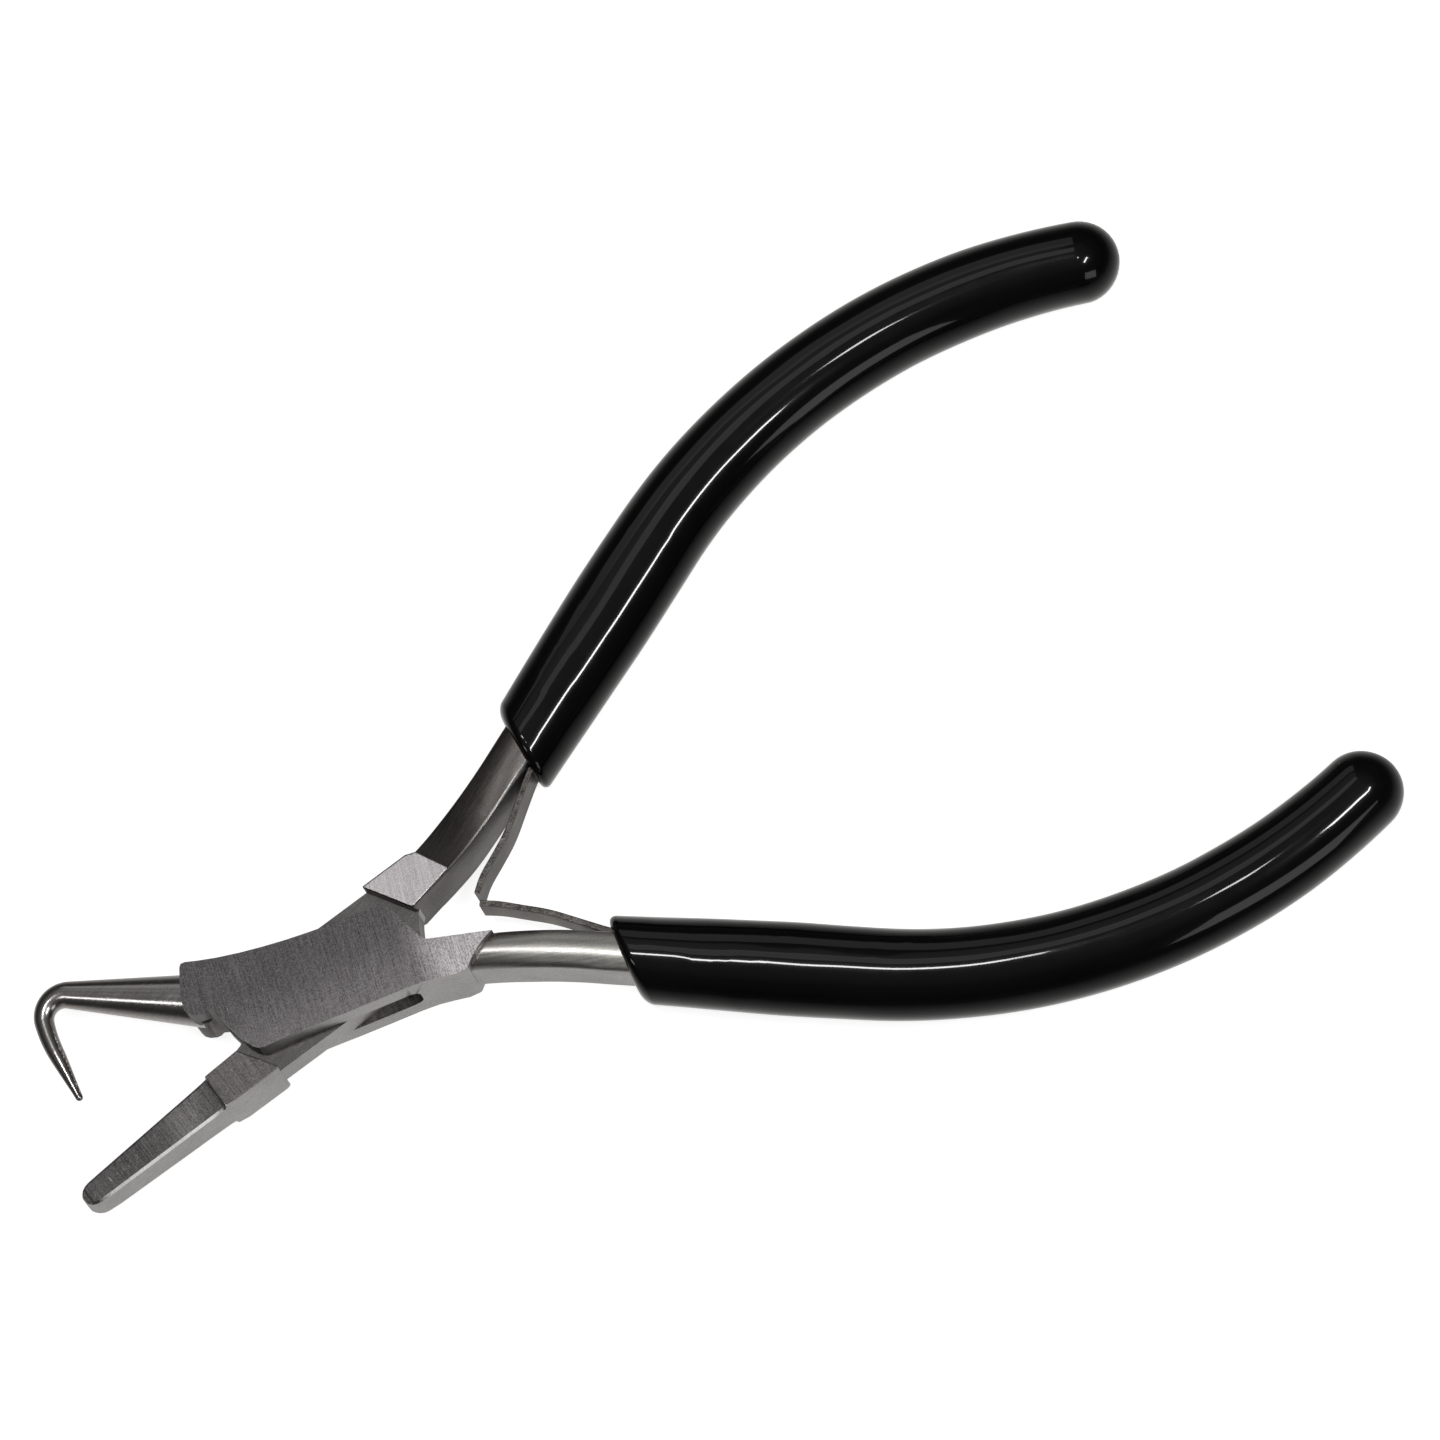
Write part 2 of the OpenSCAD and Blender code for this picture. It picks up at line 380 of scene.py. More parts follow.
def steel(name, dark, light, rough, turn, across=5200, length=260, brush=0.5, painted_glint_amount=0.5,
          grain=0.3, painted_light_ramps=()):
    """Steel with fine lines along the direction turn, patches of tone and small painted glints.

    across and length say how finely the lines vary over and along themselves. brush and
    grain are how deep the lines and the grain are. Each painted light ramp is (axis, where
    it starts, where it is full, how many times brighter it makes the steel).
    """
    n = Nodes(name)
    lines = n.noise(n.mapped(turn, (length, across, across)), 1, 5, 0.62)
    wide = n.noise(n.mapped(turn + 3, (length * 0.45, across * 0.33, across * 0.33)), 1, 3, 0.6)
    cloud = n.noise(n.mapped(), 230, 3, 0.55)
    fine = n.noise(n.mapped(), 7000, 2, 0.5)
    painted_glint_flecks = n.noise(n.mapped(turn + 2, (across * 0.25, across * 1.4, across * 1.4)), 1, 2, 0.5)

    tone = n.blend(
        (n.ramp(lines, 0.3, 0.7), 0.5),
        (n.ramp(cloud, 0.3, 0.7), 0.12),
        (n.ramp(fine, 0.42, 0.58), 0.38),
    )
    colour = n.mix(tone, dark, light)
    # Painted light and shade: each ramp scales the colour along one axis
    for axis, start, full, times in painted_light_ramps:
        colour = n.scaled(colour, n.ramp(n.axis(axis), start, full, 1.0, times))
    # Painted glints: specks of the colour pushed towards white, as if catching a light
    painted_glint = n.math("MULTIPLY", n.ramp(painted_glint_flecks, 0.64, 0.78), painted_glint_amount * 0.5)
    colour = n.mix(painted_glint, colour, (0.95, 0.94, 0.95))

    unevenness = n.blend((cloud, 0.5), (lines, 0.5))
    normal = n.bump(wide, brush * 0.3, 0.00003)
    normal = n.bump(lines, brush, 0.00002, normal)
    normal = n.bump(fine, grain, 0.000012, normal)
    return n.set(
        Base_Color=colour, Metallic=1.0, Normal=normal,
        Roughness=n.ramp(unevenness, 0.35, 0.65, rough * 0.82, rough * 1.2),
    )


def vinyl(name):
    """Black dipped vinyl: glossy, very slightly uneven, with a few dust specks."""
    n = Nodes(name)
    wave = n.noise(n.mapped(), 95, 2, 0.4)
    peel = n.noise(n.mapped(), 900, 2, 0.5)
    dust = n.noise(n.mapped(), 1500, 1, 0.4)
    wear = n.noise(n.mapped(), 320, 4, 0.6)
    colour = n.mix(n.ramp(wave, 0.3, 0.7), (0.0008, 0.0008, 0.0010), (0.0022, 0.0022, 0.0025))
    colour = n.mix(n.ramp(dust, 0.84, 0.87), colour, (0.12, 0.12, 0.12))
    normal = n.bump(wave, 0.10, 0.0004)
    normal = n.bump(peel, 0.05, 0.00003, normal)
    return n.set(
        Base_Color=colour, Roughness=n.ramp(wear, 0.35, 0.7, 0.17, 0.27), Normal=normal,
        Specular_IOR_Level=0.08, Coat_Weight=1.0, Coat_Roughness=0.05,
    )


# The joint's ground faces, and the plates of the two handle roots
# Painted light: the cheek's colour grows brighter towards the arm and towards its lower side
cheek_steel = steel(
    "cheek_steel", (0.066, 0.062, 0.064), (0.262, 0.248, 0.255), 0.42, 82,
    across=6500, brush=0.8, painted_glint_amount=0.7, grain=0.4,
    painted_light_ramps=[("X", 0.0088, 0.0128, 2.6), ("Y", 0.002, -0.006, 1.7)],
)
plate_steel = steel(
    "plate_steel", (0.52, 0.485, 0.50), (1.0, 0.96, 0.98), 0.40, 78, length=240, brush=0.7, painted_glint_amount=0.9
)
side_steel = steel(
    "side_steel", (0.40, 0.392, 0.385), (0.70, 0.69, 0.68), 0.42, 0,
    across=3800, length=500, brush=0.3, painted_glint_amount=0.25,
)
lug_steel = steel(
    "lug_steel", (0.10, 0.094, 0.09), (0.21, 0.20, 0.19), 0.45, 15, across=3800, length=400, painted_glint_amount=0.2
)
slot_steel = steel(
    "slot_steel", (0.09, 0.083, 0.078), (0.42, 0.40, 0.38), 0.5, 90,
    across=2200, length=300, brush=0.9, grain=0.6,
)
# Painted shade: a near-black steel for the bevels that face up
painted_shade_edge = steel(
    "painted_shade_edge", (0.012, 0.011, 0.011), (0.05, 0.047, 0.046), 0.45, 0,
    across=3000, length=400, painted_glint_amount=0.2,
)
tongue_steel = steel(
    "tongue_steel", (0.13, 0.122, 0.122), (0.26, 0.248, 0.244), 0.44, 20,
    across=4200, length=320, painted_glint_amount=0.3,
)

# The flat jaw: its block, its brushed blade with painted light and shade along it, and a painted highlight
# along the blade's chamfers
jaw_steel = steel(
    "jaw_steel", (0.10, 0.095, 0.092), (0.32, 0.305, 0.298), 0.42, 100, across=5600, brush=0.6, painted_glint_amount=0.6
)
# Painted light and shade: the blade is brighter just past its shoulder, darker further on, a little lighter
# at the tip
blade_steel = steel(
    "blade_steel", (0.060, 0.057, 0.057), (0.245, 0.233, 0.233), 0.36, 100,
    across=5600, length=220, brush=0.6, painted_glint_amount=0.9,
    painted_light_ramps=[("X", -0.0150, -0.0172, 1.4), ("X", -0.0180, -0.0215, 0.62), ("X", -0.025, -0.030, 1.1)],
)
# Painted highlight: a near-white steel for the bright line along the chamfers
chamfer_highlight_steel = steel(
    "chamfer_highlight_steel", (0.86, 0.85, 0.84), (0.97, 0.96, 0.95), 0.20, 80,
    across=3000, length=200, brush=0.2, painted_glint_amount=0.1, grain=0.1,
)

# The round jaw and the handle bars
polished_steel = steel(
    "polished_steel", (0.50, 0.48, 0.465), (0.66, 0.64, 0.625), 0.20, 20,
    across=3000, length=160, brush=0.3, painted_glint_amount=0.1, grain=0.15,
)
shank_steel = steel(
    "shank_steel", (0.62, 0.605, 0.565), (0.86, 0.84, 0.80), 0.34, -20,
    across=3600, length=160, brush=0.35, painted_glint_amount=0.15, grain=0.2,
)
satin_steel = steel(
    "satin_steel", (0.14, 0.128, 0.12), (0.23, 0.213, 0.20), 0.40, 30,
    across=4600, length=200, brush=0.4, painted_glint_amount=0.2,
)

# The leaf springs: their faces and their sheared edges
strip_steel = steel(
    "strip_steel", (0.12, 0.115, 0.108), (0.185, 0.176, 0.165), 0.36, 40,
    across=3000, brush=0.35, painted_glint_amount=0.2,
)
tan_steel = steel(
    "tan_steel", (0.15, 0.135, 0.12), (0.25, 0.23, 0.21), 0.42, 40, across=3000, brush=0.35, painted_glint_amount=0.2
)
sheared_steel = steel(
    "sheared_steel", (0.015, 0.012, 0.010), (0.33, 0.31, 0.29), 0.4, 0,
    across=1500, length=1100, brush=0.9, painted_glint_amount=1.0, grain=0.9,
)
grip_vinyl = vinyl("grip_vinyl")


# ---- the hook half: joint box ----

box_top = [(-12.15, 5.08), (-11.0, 4.84), (-9.0, 4.52), (-6.6, 4.28), (-4.2, 4.15), (-1.8, 4.1)]
box_top += [(0.5, 4.13), (2.8, 4.22), (5.0, 4.38), (7.0, 4.58), (8.45, 4.74)]
box_right = [(8.8, 4.45), (11.2, 0.3), (11.45, 0.0), (11.85, -0.27), (14.6, -0.75), (16.5, -1.08)]
box_end = [(18.3, -1.42), (17.3, -2.0), (16.45, -2.65), (15.8, -3.3), (15.3, -3.9)]
box_end += [(15.02, -4.3), (14.88, -4.43), (14.66, -4.51)]
box_foot = [(13.6, -4.64), (12.0, -4.5), (10.4, -4.42), (8.6, -4.5), (6.9, -4.66), (4.4, -4.88)]
box_foot += [(1.8, -5.1), (-0.5, -5.26), (-2.8, -5.44), (-4.8, -5.66), (-6.7, -5.88)]
box_left = [(-7.25, -5.82), (-7.75, -5.5), (-8.4, -4.75), (-10.4, -1.15), (-10.45, -0.75), (-10.7, -0.5)]
box_left += [(-11.2, -0.4), (-11.55, -0.6), (-12.0, -0.66), (-12.7, -0.5), (-13.15, -0.2), (-13.42, 0.25)]
box_left += [(-13.5, 1.3), (-13.15, 3.1), (-12.87, 4.35), (-12.76, 4.75), (-12.56, 5.02)]
box_outline = box_top + box_right + box_end + box_foot + box_left


def slot_profile():
    """The round slot for the tongue, with its rim rounded above and below."""
    flat_r, flat_z = SLOT_R - SLOT_RIM, SLOT_HALF - SLOT_RIM
    low = [
        (flat_r + SLOT_RIM * math.sin(a), -flat_z - SLOT_RIM * math.cos(a))
        for a in degrees(0, 90, 15)
    ]
    return low + [(r, -z) for r, z in reversed(low)]


def between_cheeks(name, outline, tuck):
    """Cuts an outline out of the slot's height; tuck keeps two cuts off one plane."""
    return minus(prism(name, outline, tuck - SLOT_HALF, SLOT_HALF - tuck))


def sector(r, first, last):
    return [(0, 0)] + arc(r, first, last, 2)


def ellipsoid(centre, radii):
    """Rings of an ellipsoid, from end to end along X."""
    rings = []
    for a in degrees(15, 165, 15):
        units = [(-math.cos(a), math.sin(a) * math.cos(b), math.sin(a) * math.sin(b)) for b in turns(24)]
        rings.append([tuple(c + r * u for c, r, u in zip(centre, radii, unit)) for unit in units])
    return rings


joint_box = worked(
    prism("box", box_outline, -MID, MID),
    minus(loft("slot", disc_rings(slot_profile()))),
    between_cheeks("exit", [(0, 0), (12.4, 0), (12.4, 6), (0, 6)], 0.001),
    between_cheeks("pocket", sector(12.02, -19, 3), 0.002),
    between_cheeks("mouth", sector(11, 184, 214), 0.003),
    minus(loft("notch", ellipsoid((-11.75, -0.86, 1.5), (1.0, 0.5, 0.62)))),
    bore(RIVET_R),
)
joint_box = worked(joint_box, bevel(0.24))

FACE, SIDE, SLOT, LUG, PAINTED_HIGHLIGHT, PAINTED_SHADE = range(6)


def box_pick(p):
    """Each face's material, by where it is and where it looks: painted shade or highlight on bevels."""
    c, normal = p.center, p.normal
    faces_pivot = normal.x * c.x + normal.y * c.y < 0
    if abs(c.z) < SLOT_HALF + 0.04 and (abs(normal.z) > 0.1 or faces_pivot):
        return SLOT
    if abs(normal.z) > 0.93 and abs(c.z) > 4.3:
        return FACE
    if abs(normal.z) > 0.15 and abs(c.z) > 4.1:
        # Bevels: painted shade where they face up, painted highlight where they face down, darker lug steel
        # between
        return PAINTED_SHADE if normal.y > 0.35 else LUG if normal.y > -0.1 else PAINTED_HIGHLIGHT
    return LUG if c.x < -7 else SIDE


# The plate steel doubles as the painted highlight on the bevels that face down
box_steels = [cheek_steel, side_steel, slot_steel, lug_steel, plate_steel, painted_shade_edge]
add_piece("joint_box", joint_box, box_steels, **HOOK_HALF, pick=box_pick)

rivet = loft("rivet", disc_rings([(RIVET_R, -MID), (RIVET_R, MID)]))
add_piece("rivet", rivet, [cheek_steel], "hook", "hook_half", "jaw_steel", ["pivot_rivet"], sharp=30)


# ---- the hook half: round jaw ----

hook_r = soft_table([(0, 2.75), (14.3, 1.38), (17.8, 1.04), (22.4, 0.87), (27.3, 0.36), (28, 0.34)], 0.7)
HOOK_TIP = 27.32  # where the rounded point begins


def round_section(r):
    return [(r * math.cos(a), r * math.sin(a)) for a in turns(48)]


def hook_rings():
    """A tapering round bar that bends, with a rounded point."""
    places = spread(0, 13.8, 0.6) + spread(14.0, 22.2, 0.2) + spread(22.6, HOOK_TIP, 0.4)
    rings = [upright(along(HOOK_START, HOOK, s), round_section(hook_r(s))) for s in places]
    end_r = hook_r(HOOK_TIP)
    for a in degrees(15, 75, 15):
        p = along(HOOK_START, HOOK, HOOK_TIP + end_r * math.sin(a))
        rings.append(upright(p, round_section(end_r * math.cos(a))))
    return rings


add_piece("round_jaw", loft("hook", hook_rings()), [polished_steel], **HOOK_HALF, sharp=60)


# ---- handle bars ----

BAR_HALF = 2.02  # half of a bar's width
BAR_EDGE = 2.85  # half of the height of its sides
bar_places = spread(-1.4, 4.4, 0.12) + spread(4.6, 8, 0.25) + spread(8.6, 20, 0.6) + spread(22, 84, 2.0)


def bar_section(out, inn, z_out, z_in, bulge):
    """A handle bar's section: a crowned face between two flat sides, mirrored underneath."""
    soft_out, soft_in = 0.3, 0.26  # how much of each edge is rounded

    def z(v):
        t = (v + inn) / (out + inn)
        return z_in + (z_out - z_in) * t + bulge * 4 * t * (1 - t)

    top = [(out, z_out - soft_out), (out - 0.09 * soft_out, z_out - 0.55 * soft_out)]
    top += [(out - 0.35 * soft_out, z_out - 0.17 * soft_out)]
    top += [(v, z(v)) for v in np.linspace(out - soft_out, soft_in - inn, 13)]
    top += [(0.35 * soft_in - inn, z_in - 0.17 * soft_in), (0.09 * soft_in - inn, z_in - 0.55 * soft_in)]
    top += [(-inn, z_in - soft_in)]
    sides = [-1.5, -0.5, 0.5, 1.5]
    under = [(v, -u) for v, u in reversed(top)]
    return top + [(-inn, -v) for v in sides] + under + [(out, v) for v in sides]


def rounded_start(rings, line, depth=0.26, width=0.16):
    """Rounds a bar's crown down into the shoulder that it rises from."""
    line = np.array(line)

    def lowered(x, y, z):
        if abs(z) <= 2.4:
            return (x, y, z)
        gap = np.hypot(*(line - (x, y)).T).min()
        return (x, y, z - math.copysign(depth * math.exp(-((gap / width) ** 2)), z))

    return [[lowered(*q) for q in r] for r in rings]


def is_side(p):
    return abs(p.normal.z) < 0.35


low_side = soft_table([(-2, 1.6), (1, 1.6), (6, 1.85), (14, BAR_HALF), (84, BAR_HALF)], 0.5)
low_crown = soft_table([(0, 3.95), (4, 3.8), (8, 3.55), (84, 3.5)], 0.8)


def lower_bar(s):
    section = bar_section(low_side(s), BAR_HALF, BAR_EDGE, BAR_EDGE, low_crown(s) - BAR_EDGE)
    return upright(along(HANDLE_START, HANDLE, s), section)


shoulder = [tuple(q) for a, b in zip(box_end, box_end[1:]) for q in np.linspace(a, b, 8)]
lower_shank = rounded_start(mirrored([lower_bar(s) for s in bar_places]), shoulder)
add_piece("lower_shank", loft("shank", lower_shank), [shank_steel, side_steel], **HOOK_HALF, sharp=40,
          pick=lambda p: 1 if is_side(p) else 0)


# ---- the flat half: tongue, block, flat jaw, plate, handle bar ----


def is_flat(p):
    return abs(p.normal.z) > 0.9


tongue_outline = [(-12.2, -5.38), (8.0, -5.38)] + arc(TONGUE_R, -34, -22, 4)
tongue_outline += [(9.9, -3.75), (10.35, -3.5), (10.72, -2.85), (11.0, -2.2), (11.45, -1.42), (11.9, -0.75)]
tongue_outline += [(12.4, -0.3), (12.4, 4.3), (-8.5, 4.3)] + arc(TONGUE_R, 154, 182, 4)
tongue_outline += [(-10.2, -0.75), (-12.2, -1.3)]
tongue = prism("tongue", tongue_outline, -TONGUE_HALF, TONGUE_HALF)
tongue = worked(tongue, bore(RIVET_R + RIVET_GAP), bevel(0.1))
add_piece("tongue", tongue, [tongue_steel, side_steel], **FLAT_HALF,
          pick=lambda p: 1 if p.normal.y < -0.7 else 0)

block_outline = [(-10.75, -1.5), (-14.82, -1.72), (-14.82, -5.42), (-13.6, -5.6)]
block_outline += [(-8.9, -5.6), (-8.5, -5.52), (-8.36, -5.3), (-8.6, -4.95)]
block = worked(prism("block", block_outline, -3.55, 3.55), bevel(0.15))
add_piece("jaw_block", block, [jaw_steel, side_steel], **FLAT_HALF, pick=lambda p: 0 if is_flat(p) else 1)

# The blade from its fillet to its round tip: (x, half height), then its two sides by x
blade_half = [(-14.0, 3.52), (-14.83, 3.52), (-14.85, 3.2), (-14.89, 2.95), (-14.96, 2.8)]
blade_half += [(-15.08, 2.71), (-15.3, 2.66), (-15.75, 2.62), (-16.3, 2.58), (-18, 2.51), (-20, 2.46)]
blade_half += [(-23, 2.36), (-26, 2.27), (-29, 2.17), (-30.4, 2.12), (-30.9, 2.08), (-31.25, 1.98)]
blade_half += [(-31.5, 1.8), (-31.68, 1.5), (-31.78, 1.05)]
front_knots = [(-32, 3.6), (-31.75, 3.55), (-31.4, 3.2), (-30.7, 2.88), (-14.3, 1.66), (-13, 1.6)]
back_knots = [(-32, 4.4), (-31.75, 4.55), (-31.3, 5.0), (-30.7, 5.28), (-29.6, 5.38)]
back_knots += [(-14.9, 5.44), (-13, 5.44)]
front_y, back_y = soft_table(front_knots, 0.12), soft_table(back_knots, 0.15)


def blade_section(y_low, y_high, z, r=0.26):
    """A rectangle in (y, z): rounded corners along the gripping side, chamfers behind."""
    r = min(r, 0.49 * (y_high - y_low), 0.98 * z)
    round_step, chamfer_step = 22.5, 90
    corners = [
        (y_high - r, z - r, 0, round_step), (y_low + r, z - r, 90, chamfer_step),
        (y_low + r, r - z, 180, chamfer_step), (y_high - r, r - z, 270, round_step),
    ]
    out = []
    for centre_y, centre_z, start, step in corners:
        for k in range(round(90 / step) + 1):
            a = math.radians(start + step * k)
            out.append((centre_y + r * math.cos(a), centre_z + r * math.sin(a)))
    return out


def blade_pick(p):
    """Brushed faces, light sides and a painted highlight, a bright line, along the chamfers."""
    if is_flat(p):
        return 0
    return 2 if abs(p.normal.z) > 0.25 and p.normal.y < -0.2 else 1


blade = [[(x, *q) for q in blade_section(-back_y(x), -front_y(x), half)] for x, half in blade_half]
add_piece("flat_jaw", loft("blade", blade), [blade_steel, side_steel, chamfer_highlight_steel], **FLAT_HALF,
          sharp=30, pick=blade_pick)

plate_outline = [(8.95, 4.5), (9.1, 4.15), (11.72, -0.36), (12.1, -0.42)]
plate_outline += [(16.6, 0.5), (17.1, 0.68), (15.4, 4.1), (14.3, 4.5)]
plate = worked(prism("plate", plate_outline, -3.58, 3.58), bevel(0.2))
add_piece("handle_plate", plate, [plate_steel, tongue_steel], **FLAT_HALF,
          pick=lambda p: 0 if is_flat(p) else 1)

inner_side = soft_table([(0, 2.5), (4, 2.45), (11, BAR_HALF), (84, BAR_HALF)], 0.8)
inner_edge = soft_table([(0, 3.5), (4, 3.45), (9, 3.2), (15, 2.85), (84, 2.8)], 0.8)
outer_edge = soft_table([(0, 1.8), (2.6, 1.9), (5, 2.2), (10, 2.6), (15, 2.8), (84, 2.8)], 0.8)
up_bulge = soft_table([(0, 0.0), (4, 0.05), (8, 0.3), (13, 0.6), (16, 0.7), (84, 0.7)], 0.8)


def upper_bar(s):
    section = bar_section(BAR_HALF, inner_side(s), outer_edge(s), inner_edge(s), up_bulge(s))
    return upright(along(HANDLE_START, HANDLE, s), section)


upper_shank = [upper_bar(s) for s in bar_places]
RIDGE_HIGHLIGHT = (15, 16, 24, 25)  # which faces of each ring run along the inner edges, given a painted highlight


def upper_shank_pick(p):
    """Satin face, dark sides and a painted highlight along the inner edges."""
    if p.index % len(upper_shank[0]) in RIDGE_HIGHLIGHT:
        return 2
    return 1 if is_side(p) else 0


add_piece("upper_shank", loft("shank", upper_shank), [satin_steel, tongue_steel, side_steel], **FLAT_HALF,
          sharp=40, pick=upper_shank_pick)


# ---- grips ----

MOUTH = 15.8  # where the middle of a grip's slanted mouth is along the handle
SLANT = math.tan(math.radians(28))
LIP = 1.1  # radius of the mouth's rounded lip
SLANT_REACH = 16  # how far into the grip the slant fades away
grip_knots = [(5, 4.2), (12, 4.2), (21.8, 4.45), (32, 4.75), (50.6, 4.5), (81.9, 4.4)]
grip_knots += [(94, 4.15), (100, 4.1)]
grip_half = soft_table(grip_knots, 3.0)


def grip_ring(t, seed, shrink=0.0, squeeze=1.0):
    """One ring of a grip's body, at a distance in from its mouth."""
    out = []
    for a in turns(56):
        s0 = MOUTH + t
        v = (grip_half(s0) - shrink) * squeeze * math.cos(a)
        s = s0 + v * SLANT * (1 - smoothstep(t / SLANT_REACH))
        uneven = 0.035 * noise.noise(Vector((s * 0.16, 1.7 * math.cos(a), 1.7 * math.sin(a) + seed)))
        r = (grip_half(s) - shrink) * squeeze + uneven
        z = ((MID - shrink) * squeeze + min(0.0, uneven)) * math.sin(a)
        out.append((*beside(along(HANDLE_START, HANDLE, s), r * math.cos(a)), z))
    return out


def grip_rings(seed):
    """A dipped sleeve: slanted mouth with a rounded lip, slightly uneven body, round end."""
    rings = [grip_ring(-0.15, seed, LIP, k) for k in (0.35, 0.7)]
    for k in range(8):
        a = math.radians(90 * k / 8)
        rings.append(grip_ring(LIP * (1 - math.cos(a)), seed, LIP * (1 - math.sin(a))))
    body = [LIP] + spread(2.0, 16, 0.9) + spread(17.2, HANDLE_L - MOUTH, 1.2)
    rings += [grip_ring(t, seed) for t in body]
    end_r = grip_half(HANDLE_L)
    for a in degrees(8, 88, 8):
        p = along(HANDLE_START, HANDLE, HANDLE_L + end_r * math.sin(a))
        r, height = end_r * math.cos(a), MID * math.cos(a)
        rings.append(upright(p, [(r * math.cos(b), height * math.sin(b)) for b in turns(56)]))
    return rings


lower_grip = loft("grip", mirrored(grip_rings(3.1)))
add_piece("lower_grip", lower_grip, [grip_vinyl], "hook", "hook_half", "grip_pvc", ["lower_grip"], sharp=70)
upper_grip = loft("grip", grip_rings(8.4))
add_piece("upper_grip", upper_grip, [grip_vinyl], "flat", "flat_half", "grip_pvc", ["upper_grip"], sharp=70)


# ---- leaf springs: one strip each, bending where it leaves the grip ----

leaf_foot = [(34.4, 13.33), (31.5, 11.54), (29.3, 10.18), (28.25, 9.5)]


def chaikin(points, rounds=3):
    """A line with its corners cut away again and again."""
    for _ in range(rounds):
        new = [points[0]]
        for a, b in zip(points, points[1:]):
            new += [tuple((1 - k) * u + k * v for u, v in zip(a, b)) for k in (0.25, 0.75)]
        points = new + [points[-1]]
    return points


def leaf(name, points, side, face, nodes, width=3.7, thick=0.62):
    """A strip along its points; side is 1 for the upper leaf and -1 for the lower."""
    path = np.array(chaikin(points))
    tangents = np.gradient(path, axis=0)
    tangents /= np.linalg.norm(tangents, axis=1)[:, None]
    w, t, r = width / 2, thick / 2, 0.11
    quarter = [(t, w / 3), (t, w - r), (t - r * 0.3, w - r * 0.3), (t - r, w)]
    outline = [(a * v, b * z) for a in (1, -1) for b in (1, -1) for v, z in quarter]
    outline.sort(key=lambda q: math.atan2(q[1] / w, q[0] / t))
    rings = [
        [(x - v * ty, side * (y + v * tx), z) for v, z in outline]
        for (x, y), (tx, ty) in zip(path, tangents)
    ]
    ob = add_piece(name, loft(name, rings), [face, sheared_steel], "rest", None, "spring_steel", nodes,
                   sharp=40, pick=lambda p: 1 if abs(p.center.z) > w - 0.02 or abs(p.normal.z) > 0.6 else 0)
    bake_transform(ob)


upper_leaf = leaf_foot + [(25.9, 7.2), (23.5, 4.75), (21.2, 3.1), (19.2, 1.75), (18.0, 0.42)]
leaf("upper_leaf_spring", upper_leaf, 1, strip_steel,
     ["upper_spring_foot", "upper_spring_blade"])
lower_leaf = leaf_foot + [(25.9, 7.1), (23.6, 4.75), (21.4, 3.1), (19.5, 1.6), (17.8, 0.62)]
leaf("lower_leaf_spring", lower_leaf, -1, tan_steel,
     ["lower_spring_foot", "lower_spring_blade"])

for name in ("lower_spring_rivet", "upper_spring_rivet"):
    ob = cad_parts[name]
    ob.data.materials.clear()
    ob.data.materials.append(satin_steel)


# ---- floor, camera, light ----


def facing(location, axis_x, axis_z):
    """A placement at a point, with its own Z and roughly its own X given."""
    z = axis_z.normalized()
    x = (axis_x - axis_x.dot(z) * z).normalized()
    y = z.cross(x)
    m = Matrix((x, y, z)).transposed().to_4x4()
    m.translation = location
    return m


FLOOR = 3.0  # half of the floor's side, in metres
floor_mesh = bpy.data.meshes.new("floor")
floor_corners = [(-FLOOR, -FLOOR, 0), (FLOOR, -FLOOR, 0), (FLOOR, FLOOR, 0), (-FLOOR, FLOOR, 0)]
floor_mesh.from_pydata(floor_corners, [], [(0, 1, 2, 3)])
floor = bpy.data.objects.new("floor", floor_mesh)
bpy.context.scene.collection.objects.link(floor)
floor_nodes = Nodes("floor_paper")
paper = floor_nodes.noise(floor_nodes.mapped(), 60, 3, 0.5)
floor.data.materials.append(floor_nodes.set(
    Base_Color=floor_nodes.mix(paper, (0.93, 0.93, 0.93), (0.95, 0.95, 0.95)), Roughness=0.9,
    Emission_Color=(1.0, 1.0, 1.0), Emission_Strength=0.83))
floor.visible_glossy = False  # the steel mirrors the studio, not the paper

# The camera looks along -back at the target, from the photograph's angle
target = Vector((0.04742, 0.00563, 0.0044))
right = Vector((0.8903, -0.4300, -0.1498)).normalized()
up = Vector((0.4553, 0.8421, 0.2891))
up = (up - up.dot(right) * right).normalized()
back = right.cross(up)
camera_data = bpy.data.cameras.new("camera")
camera_data.lens, camera_data.sensor_width = 250, 36
camera_data.clip_start, camera_data.clip_end = 0.05, 20
camera = bpy.data.objects.new("camera", camera_data)
camera.matrix_world = facing(target + back, right, back)
bpy.context.scene.collection.objects.link(camera)
bpy.context.scene.camera = camera
bpy.context.scene.view_settings.view_transform = "Standard"


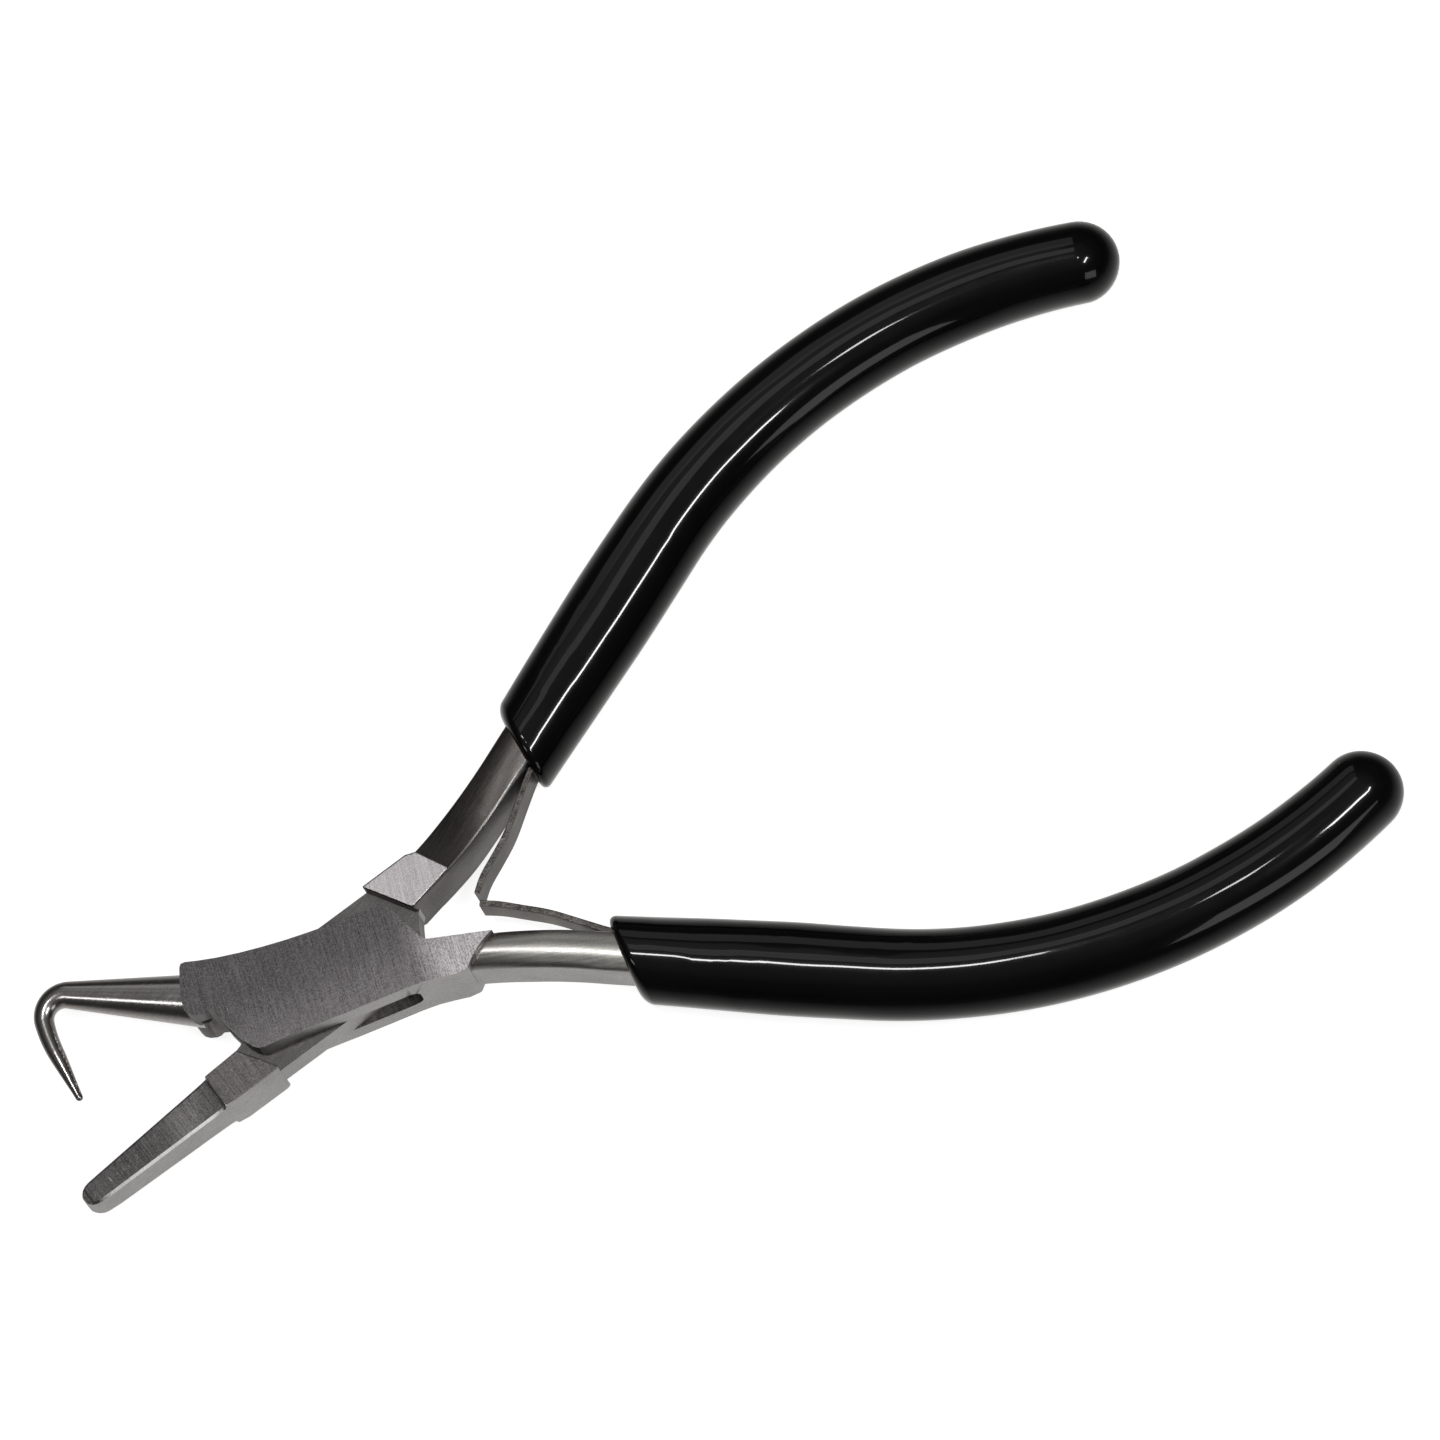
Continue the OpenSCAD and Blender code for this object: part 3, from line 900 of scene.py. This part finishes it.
def panel(name, sideways, upwards, size_x, size_y, power, turn=0.0, distance=0.9, aim=tuple(target)):
    """A soft panel light, placed by its direction as the camera sees it."""
    depth = math.sqrt(max(0.0, 1 - sideways ** 2 - upwards ** 2))
    direction = sideways * right + upwards * up + depth * back
    a = math.radians(turn)
    data = bpy.data.lights.new(name, "AREA")
    data.shape, data.size, data.size_y = "RECTANGLE", size_x, size_y
    data.energy = power
    ob = bpy.data.objects.new(name, data)
    across = math.cos(a) * right + math.sin(a) * up
    ob.matrix_world = facing(Vector(aim) + direction * distance, across, direction)
    bpy.context.scene.collection.objects.link(ob)


# The lines along the grips
panel("left_light", -0.30, 0.29, 0.20, 0.055, 0.78)
panel("right_light", 0.38, 0.08, 0.26, 0.055, 1.25, turn=58)
# The flat faces
panel("front_light", 0.01, 0.20, 0.05, 0.05, 0.14)
panel("flat_light", -0.28, 0.57, 0.20, 0.20, 0.062)
panel("sky_light", -0.42, 0.70, 0.40, 0.30, 0.05)
# Glints: from low on the right, close beside the round jaw, and close behind the joint
panel("low_light", 0.55, -0.58, 0.40, 0.30, 0.36)
panel("jaw_light", -0.50, -0.24, 0.06, 0.022, 0.016, distance=0.18, aim=(-0.0215, 0.0085, 0.0044))
panel("back_light", -0.20, 0.95, 0.16, 0.07, 0.010, distance=0.2, aim=(0.0, -0.002, 0.0088))


def studio():
    """The room that the steel mirrors: light below, dark at eye level, dim above."""
    world = bpy.data.worlds.new("studio")
    bpy.context.scene.world = world
    world.use_nodes = True
    nodes, links = world.node_tree.nodes, world.node_tree.links
    split = nodes.new("ShaderNodeSeparateXYZ")
    ramp = nodes.new("ShaderNodeValToRGB")
    height = nodes.new("ShaderNodeMapRange")
    height.inputs["From Min"].default_value = -1.0
    links.new(nodes.new("ShaderNodeTexCoord").outputs["Generated"], split.inputs[0])
    links.new(split.outputs["Z"], height.inputs["Value"])
    links.new(height.outputs[0], ramp.inputs[0])
    links.new(ramp.outputs[0], nodes["Background"].inputs["Color"])
    levels = {0.0: 0.66, 0.3: 0.27, 0.47: 0.045, 0.60: 0.028, 0.85: 0.06, 1.0: 0.15}
    stops = ramp.color_ramp.elements
    for place, level in levels.items():
        stop = stops[0] if place == 0.0 else stops[-1] if place == 1.0 else stops.new(place)
        stop.color = (level, level * 0.985, level * 0.97, 1)


studio()
